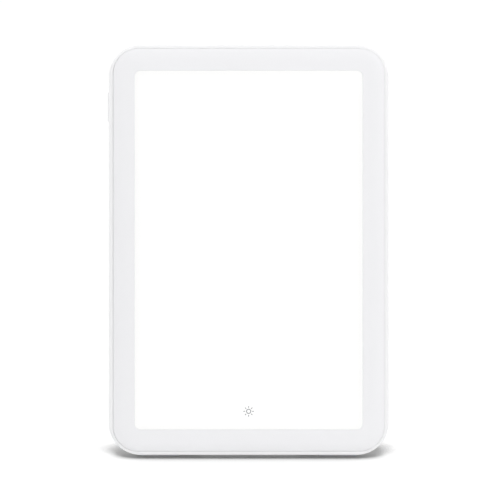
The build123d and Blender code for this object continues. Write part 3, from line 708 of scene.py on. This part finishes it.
# %% Shoe of the leg
leg_splay = math.radians(10)
hinge = next(joint for joint in frame["joints"] if joint["name"] == "leg_fold")
leg_to_world = Matrix.Translation(hinge["pos_m"]) @ Matrix.Rotation(leg_splay, 4, "X")
world_to_leg = leg_to_world.inverted()
shoe_low, shoe_high = extent("leg_foot_pad", world_to_leg)
shoe_corner = 2.5 * mm
shoe_edge = 0.5 * mm
tongue_width = 46.1 * mm
tongue_thickness = 1.4 * mm
tongue_length = 3.04 * mm
tongue_corner = 0.2 * mm
shoe_middle = (shoe_low.y + shoe_high.y) / 2


def shoe_outline(bm, width, thickness, corner, level):
    """Outline across the shoe, at a level along the leg."""
    return outline(bm, width, thickness, corner, at(0, shoe_middle, level, "up"))


shoe = bmesh.new()
shoe_width = shoe_high.x - shoe_low.x
shoe_thickness = shoe_high.y - shoe_low.y
bottom = shoe_low.z - foot_spare
faces = [shoe_outline(shoe, shoe_width - 2 * inset, shoe_thickness, shoe_edge, shoe_low.z + drop)
         for inset, drop in rounded_edge(shoe_corner)]
faces.insert(0, shoe_outline(shoe, shoe_width - 2 * shoe_corner, shoe_thickness, shoe_edge, bottom))
faces.append(shoe_outline(shoe, shoe_width, shoe_thickness, shoe_edge, shoe_high.z))
for level in (shoe_high.z, shoe_high.z - tongue_length):
    faces.append(shoe_outline(shoe, tongue_width, tongue_thickness, tongue_corner, level))
skin(shoe, faces, rings=(len(faces) - 3,))
cut_by_table(shoe, leg_to_world)
leg_shoe = new_piece("leg_shoe", shoe, silicone, "stand", frame_of_piece=leg_to_world)
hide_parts("leg_foot_pad")

# %% [markdown]
# Six pan-head screws hold the cover. A head is a dome over a short cylinder with a cross-shaped
# recess that narrows towards its floor. The recess is cut with a Boolean modifier by a tapered
# cross. The cross has an outline at its floor and one at its mouth, a little above the dome, each
# given as the reach and width of its arms and its height over the head's seat. One screw is made,
# and its mesh is then added six times to one piece, each time turned a little further.

# %% Cover screws
head_radius = 2.6 * mm
head_height = 1.8 * mm
head_side = 1.0 * mm
head_edge = 0.15 * mm
dome_fullness = 0.7
dome_steps = 6
shaft_radius = 1.25 * mm
core_radius = 1.05 * mm
shaft_length = 7.6 * mm
thread_pitch = 0.5 * mm
tip_radius = 0.63 * mm
dome_top = 0.1 * mm
head_depth = 2.4 * mm
screw_turn = math.radians(37)
cross_reach = 1.55 * mm
cross_width = 0.55 * mm
cross_depth = 1.15 * mm
cross_corner = 0.1 * mm
cross_floor = (0.45 * cross_reach, 0.6 * cross_width, head_height - cross_depth)
cross_mouth = (1.15 * cross_reach, 1.15 * cross_width, head_height + 0.3 * mm)


def screw_profile():
    """Radius and height of the screw's rounds, from the tip to the top of the head."""
    level = -shaft_length + thread_pitch
    rounds = [(tip_radius, -shaft_length), (core_radius, level)]
    while level < -2 * thread_pitch:
        rounds += [(shaft_radius, level + thread_pitch / 2), (core_radius, level + thread_pitch)]
        level += thread_pitch
    rounds += [(core_radius, 0), (head_radius - head_edge, 0), (head_radius, head_edge)]
    rounds.append((head_radius, head_side))
    for step in range(1, dome_steps):
        angle = quarter * step / dome_steps
        rise = (head_height - head_side) * math.sin(angle)
        rounds.append((head_radius * math.cos(angle) ** dome_fullness, head_side + rise))
    return rounds + [(dome_top, head_height)]


screw = bmesh.new()
skin(screw, [disc(screw, radius, at(0, 0, level, "up"), segments=24)
             for radius, level in screw_profile()])
cutter = bmesh.new()
for turn in (0, quarter):
    arm = Matrix.Rotation(turn, 4, "Z")
    skin(cutter, [outline(cutter, 2 * reach, width, cross_corner, arm @ at(0, 0, level, "up"), segments=2)
                  for reach, width, level in (cross_floor, cross_mouth)])
plain_screw = bpy.data.objects.new("plain_screw", mesh_of(screw, "plain_screw"))
cross_cutter = bpy.data.objects.new("cross_cutter", mesh_of(cutter, "cross_cutter"))
for helper in (plain_screw, cross_cutter):
    bpy.context.scene.collection.objects.link(helper)
recess = plain_screw.modifiers.new("recess", "BOOLEAN")
recess.operation = "DIFFERENCE"
recess.solver = "EXACT"
recess.use_self = True
recess.object = cross_cutter
bpy.context.view_layer.update()
depsgraph = bpy.context.evaluated_depsgraph_get()
cut_screw = bpy.data.meshes.new_from_object(plain_screw.evaluated_get(depsgraph))
for helper in (plain_screw, cross_cutter):
    bpy.data.objects.remove(helper)

screws = bmesh.new()
for number, (x, z) in enumerate(cover_screw_places):
    added = len(screws.verts)
    screws.from_mesh(cut_screw)
    turned = at(x, panel_depth - head_depth, z, "back") @ Matrix.Rotation(screw_turn * number, 4, "Z")
    bmesh.ops.transform(screws, matrix=turned, verts=screws.verts[added:])
cross_screws = new_piece("cross_screws", screws, zinc_plated_steel, "housing")
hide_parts("cover_screws")

# %% [markdown]
# A mould also gives the cover its small raised signs, a tenth of a millimetre high: beside the inlet,
# the sign for a plug whose centre is positive, and near the button, the sign for power. Each stroke
# is a thin slab with rounded corners and each arc a spun square, with the helpers of the printed
# signs, so one piece holds them all.

# %% Raised signs on the back
relief = 0.12 * mm
line = 0.55 * mm
plug_sign_height = 47 * mm
sign_inset = 17 * mm
plug_radius = 1.9 * mm
dot_radius = 0.75 * mm
plug_gap = math.radians(80)
sign_reach = 5 * mm
plus_offset = 1.6 * mm
plus_size = 1.8 * mm
bar_end = 0.3
back_power_radius = 2.4 * mm
back_bar_length = 2.64 * mm
upside_down = Matrix.Rotation(math.pi, 4, "Z")

signs = bmesh.new()
plug_plane = at(half_width - sign_inset, panel_depth, plug_sign_height, "back") @ upside_down
sideways = plug_plane @ Matrix.Rotation(-quarter, 4, "Z")
open_ring(signs, plug_radius, line, plug_gap, sideways, relief)
skin(signs, [disc(signs, dot_radius, raised(plug_plane, level), segments=20) for level in (0, relief)])


def sign_bar(plane, x, y, width, height):
    """Straight stroke of the raised signs, round a point of their plane."""
    corner = bar_end * min(width, height)
    slab(signs, width, height, corner, plane @ Matrix.Translation((x, y, 0)), relief)


arm_length = sign_reach - plug_radius
sign_bar(plug_plane, -plug_radius - arm_length / 2, 0, arm_length, line)
sign_bar(plug_plane, (dot_radius + sign_reach) / 2, 0, sign_reach - dot_radius, line)
for side in (-1, 1):
    sign_bar(plug_plane, side * (sign_reach + plus_offset), 0, plus_size, line)
sign_bar(plug_plane, sign_reach + plus_offset, 0, line, plus_size)
power_plane = at(-half_width + sign_inset, panel_depth, button_z, "back") @ upside_down
open_ring(signs, back_power_radius, line, sign_gap, power_plane, relief)
sign_bar(power_plane, 0, back_power_radius, line, back_bar_length)
new_piece("raised_signs", signs, grained_abs, "housing")

# %% [markdown]
# The leg has five short ridges at its edge, moulded with it, where a finger pulls it out of its
# recess. They are the same thin slabs, in the leg's own axes, and ride on the leg.

# %% Ridges on the leg
leg_low = extent("stand_leg", world_to_leg)[0]
ridge_count = 5
ridge_pitch = 2 * mm
ridge_length = 9 * mm
ridge_width = 0.9 * mm
ridge_height = 0.18 * mm
ridge_inset = 2 * mm
scoop_drop = 94 * mm
leg_back = 2.7 * mm

ridges = bmesh.new()
for number in range(ridge_count):
    level = -scoop_drop + (number - (ridge_count - 1) / 2) * ridge_pitch
    plane = at(leg_low.x + ridge_inset + ridge_length / 2, leg_back, level, "back")
    slab(ridges, ridge_length, ridge_width, stroke_end * ridge_width, plane, ridge_height)
new_piece("finger_ridges", ridges, grained_abs, "stand", frame_of_piece=leg_to_world)

# %% [markdown]
# Each diode is a white frame round a well of yellow phosphor. The solid model has the frames; the
# wells are added here as low domes on the sides that look at the light guide, 28 on each board. A
# dome is three outlines, each given as its inset from the well's edge and its height.

# %% Phosphor wells
diode_count = 28
diode_length = 3.5 * mm
well_length = 2.6 * mm
well_width = 1.4 * mm
well_corner = 0.35 * mm
well_dome = 0.05 * mm
well_rings = ((0, -well_dome), (0.1 * mm, well_dome * 0.7), (0.3 * mm, well_dome))
diode_depth = 4.1 * mm

wells = bmesh.new()
for side, look in (("left", "right"), ("right", "left")):
    low, high = extent("leds_" + side)
    face_x = (high.x if side == "left" else low.x) - panel_origin.x
    first = low.z - panel_origin.z + diode_length / 2
    pitch = (high.z - low.z - diode_length) / (diode_count - 1)
    for number in range(diode_count):
        plane = at(face_x, diode_depth, first + number * pitch, look)
        skin(wells, [outline(wells, well_length - 2 * inset, well_width - 2 * inset,
                             well_corner - inset / 2, raised(plane, rise), segments=3)
                     for inset, rise in well_rings])
new_piece("phosphor_wells", wells, phosphor, "housing")

# %% [markdown]
# The lamp stands on a wide white table without an edge in view. What the camera, gloss and glass see
# of the table has a glow of its own that makes it plain white. Near the lamp two Ambient Occlusion
# nodes take that glow away, so the shadow there is partly the shade that the lights cast on the paint
# and partly painted, by the missing glow. One looks straight up and paints shadow where something
# stands close above the table. The other is turned to the front, as if the light came from there: it
# sees the panel only from behind, so the painted shadow is deepest right behind the lower corners.
# Each node gives the open share of its view, and two of these shares stand for the two ends of the glow.
#
# The paint under the glow is darker than it looks, because the glow makes up the rest. Where the glow
# is taken away, this grey shows through as painted shadow. Light that bounces off the table to the
# lamp comes from plain white paint without a glow.

# %% Table
table_size = 12
table_white = "F6F6F6"
painted_shadow_grey = "7B7B7B"
# How far each occlusion view takes the glow away, which sets the painted shadow round the lamp.
straight_up = {"look": (0, 0, 1), "reach": 30 * mm, "share": (0.45, 0.70), "glow": (0.50, 0.79)}
to_the_front = {"look": (0, -1, 0.5), "reach": 40 * mm, "share": (0.70, 0.79), "glow": (0.2, 1.0)}


def direct_ray(material):
    """One for what the camera, gloss and glass see, and zero for light that bounces."""
    rays = add_node(material, "ShaderNodeLightPath")
    seen = rays.outputs["Is Camera Ray"]
    for kind in ("Is Glossy Ray", "Is Transmission Ray"):
        larger = add_node(material, "ShaderNodeMath", {
            0: seen, 1: rays.outputs[kind]}, operation="MAXIMUM")
        seen = larger.outputs[0]
    return seen


table_mesh = bmesh.new()
bmesh.ops.create_grid(table_mesh, x_segments=4, y_segments=4, size=table_size / 2)
table = bpy.data.objects.new("table", mesh_of(table_mesh, "table"))
bpy.context.scene.collection.objects.link(table)
white_paint = new_material("white_paint", table_white, 0.6, Emission_Color=linear("FFFFFF"))
seen = direct_ray(white_paint)
# The camera sees the grey paint, which shows as painted shadow wherever the glow is taken away.
paint = add_node(white_paint, "ShaderNodeMix", {
    "Factor": seen, 6: linear(table_white), 7: linear(painted_shadow_grey)}, data_type="RGBA")
link(white_paint, paint.outputs[2], "Base Color")
glow = seen
# Each occlusion node multiplies the glow down near the lamp, painting shadow onto the table.
for view in (straight_up, to_the_front):
    look = add_node(white_paint, "ShaderNodeCombineXYZ", dict(zip("XYZ", view["look"])))
    occlusion = add_node(white_paint, "ShaderNodeAmbientOcclusion", {
        "Distance": view["reach"], "Normal": look.outputs["Vector"]}, samples=16)
    share = add_node(white_paint, "ShaderNodeMapRange", {
        "Value": occlusion.outputs["AO"], "From Min": view["share"][0], "From Max": view["share"][1],
        "To Min": view["glow"][0], "To Max": view["glow"][1]})
    glow_with_painted_shadow = add_node(white_paint, "ShaderNodeMath", {
        0: glow, 1: share.outputs["Result"]}, operation="MULTIPLY")
    glow = glow_with_painted_shadow.outputs[0]
link(white_paint, glow, "Emission Strength")
table.data.materials.append(white_paint)
print("table:", table_size, "m square")

# %% [markdown]
# The studio is a white room, an even world. Its light on the lamp is held down, so that white
# surfaces keep their shading, while what the camera, gloss and glass see of it is plain white.

# %% Room
room_light = 0.64
world = bpy.data.worlds.new("white_room")
bpy.context.scene.world = world
world.use_nodes = True
room = world.node_tree.nodes["Background"]
room.inputs["Color"].default_value = linear("FFFFFF")
strength = add_node(world, "ShaderNodeMapRange", {
    "Value": direct_ray(world), "From Min": 0.0, "From Max": 1.0, "To Min": room_light, "To Max": 1.0})
world.node_tree.links.new(strength.outputs["Result"], room.inputs["Strength"])
print("room light on the lamp:", room_light)

# %% [markdown]
# A white object on white needs its light from the sides, so that its outline stays bright and its
# face a little darker. Six soft boxes give it: one stands beside each edge, one hangs above the top
# and one lies low in front of the lower edge. A weak key makes the upper right of the face the
# brightest, and the last box lights the back from above.

# %% Soft boxes
aim = panel_to_world @ Vector((0, 0, middle))


def softbox(name, x, y, z, width, height, brightness):
    """Rectangular lamp that looks at the panel. Its brightness is in shares of the white of the room."""
    lamp = bpy.data.lights.new(name, "AREA")
    lamp.shape = "RECTANGLE"
    lamp.size = width
    lamp.size_y = height
    lamp.energy = brightness * math.pi * width * height
    box = bpy.data.objects.new(name, lamp)
    box.location = (x, y, z)
    box.rotation_euler = (aim - box.location).to_track_quat("-Z", "Y").to_euler()
    bpy.context.scene.collection.objects.link(box)


softbox("key", 1.1, -1.5, 1.0, 0.9, 0.9, 0.8)
softbox("top_light", 0.0, -0.2, 0.9, 0.8, 0.3, 2.4)
softbox("back_light", 0.0, 0.75, 1.5, 1.2, 0.5, 0.9)
softbox("left_edge", -1.1, 0.3, 0.4, 0.8, 0.8, 1.4)
softbox("right_edge", 1.1, 0.3, 0.4, 0.8, 0.8, 1.3)
softbox("low_front", 0.3, -1.2, 0.05, 1.2, 0.1, 4.7)
print("soft boxes:", len(bpy.data.lights))

# %% [markdown]
# The camera looks straight at the face of the leaning panel, so its sides stay parallel: it stands
# on the line through the panel's middle at right angles to the face. A long lens from 2.4 m keeps the
# perspective flat, as in a catalogue. Its focal length follows from how large the lamp should be.

# %% Camera
picture_width = 497
lamp_in_picture = 410.2
sensor_width = 36.0
distance = 2.4
right_of_middle = -0.1 * mm
view_width = panel_height * picture_width / lamp_in_picture
lens = bpy.data.cameras.new("camera")
lens.sensor_fit = "HORIZONTAL"
lens.sensor_width = sensor_width
lens.lens = sensor_width * distance / view_width
camera = bpy.data.objects.new("camera", lens)
bpy.context.scene.collection.objects.link(camera)
camera.matrix_world = panel_to_world @ at(right_of_middle, -distance, middle)
bpy.context.scene.camera = camera
bpy.context.scene.view_settings.view_transform = "Standard"
print("focal length, mm:", round(lens.lens, 1))
